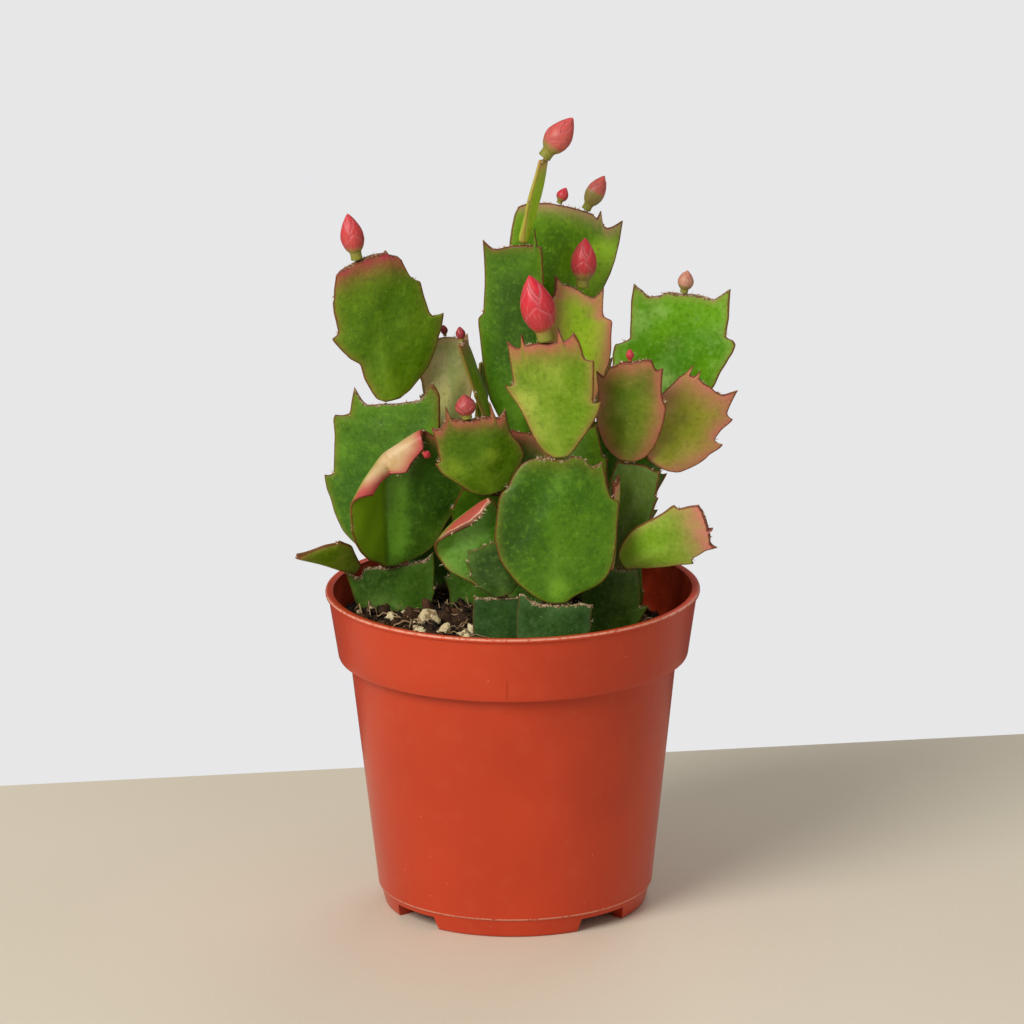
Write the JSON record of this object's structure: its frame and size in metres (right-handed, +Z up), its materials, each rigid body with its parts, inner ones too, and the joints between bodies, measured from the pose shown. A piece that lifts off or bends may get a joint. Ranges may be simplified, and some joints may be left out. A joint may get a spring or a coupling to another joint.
{
  "type": "potted christmas cactus",
  "caption": "Young Christmas cactus with flat, toothed stem segments and pink flower buds in a round orange plastic nursery pot of potting mix.",
  "frame": {"origin": "centre of the pot's foot ring on the table", "axes": "+Z up along the pot's axis, -Y towards the front of the plant, +X to the right seen from the front"},
  "size_m": [0.1238, 0.105, 0.2239],
  "materials": {
    "pot_plastic": "satin moulded terracotta orange plastic",
    "potting_mix": "dark crumbly peat and bark mix with white perlite grains",
    "stem_green": "waxy dark green succulent skin",
    "stem_young": "waxy light green succulent skin with a pink tip",
    "stem_olive": "waxy olive green succulent skin with a red edge",
    "stem_pale": "waxy pale grey green succulent skin",
    "bud": "smooth waxy rose red tepals"
  },
  "bodies": {
    "root": {"pot": "pot_plastic", "potting_mix": "potting_mix", "segment_left_1": "stem_green", "segment_left_2": "stem_green", "segment_left_3": "stem_olive", "segment_left_folded": "stem_green", "segment_left_low": "stem_green", "segment_front_1": "stem_green", "segment_front_2": "stem_green", "segment_front_3": "stem_green", "segment_front_4": "stem_young", "segment_front_curled": "stem_green", "segment_front_low": "stem_green", "segment_middle_1": "stem_green", "segment_middle_2": "stem_green", "segment_middle_3": "stem_olive", "segment_middle_4": "stem_green", "segment_middle_5": "stem_green", "segment_middle_6": "stem_pale", "segment_middle_7": "stem_green", "segment_centre_1": "stem_green", "segment_centre_2": "stem_green", "segment_centre_3": "stem_green", "segment_centre_4": "stem_green", "segment_centre_5": "stem_green", "segment_centre_7": "stem_green", "segment_centre_8": "stem_young", "segment_right_1": "stem_green", "segment_right_2": "stem_green", "segment_right_3": "stem_young", "segment_right_4": "stem_green", "segment_right_5": "stem_young", "segment_right_6": "stem_green", "segment_right_7": "stem_olive", "segment_right_8": "stem_olive", "segment_right_9": "stem_green", "segment_right_10": "stem_green", "segment_right_11": "stem_young", "segment_back_1": "stem_green", "segment_back_2": "stem_green", "segment_back_3": "stem_green", "segment_back_4": "stem_green", "segment_back_5": "stem_green", "segment_back_6": "stem_green", "segment_back_7": "stem_green", "bud_left": "bud", "bud_left_folded": "bud", "bud_front": "bud", "bud_middle": "bud", "bud_middle_back": "bud", "bud_top": "bud", "bud_slim": "bud", "bud_back_small": "bud", "bud_back": "bud", "bud_right_front": "bud", "bud_right_small": "bud", "bud_right": "bud"}
  },
  "joints": []
}
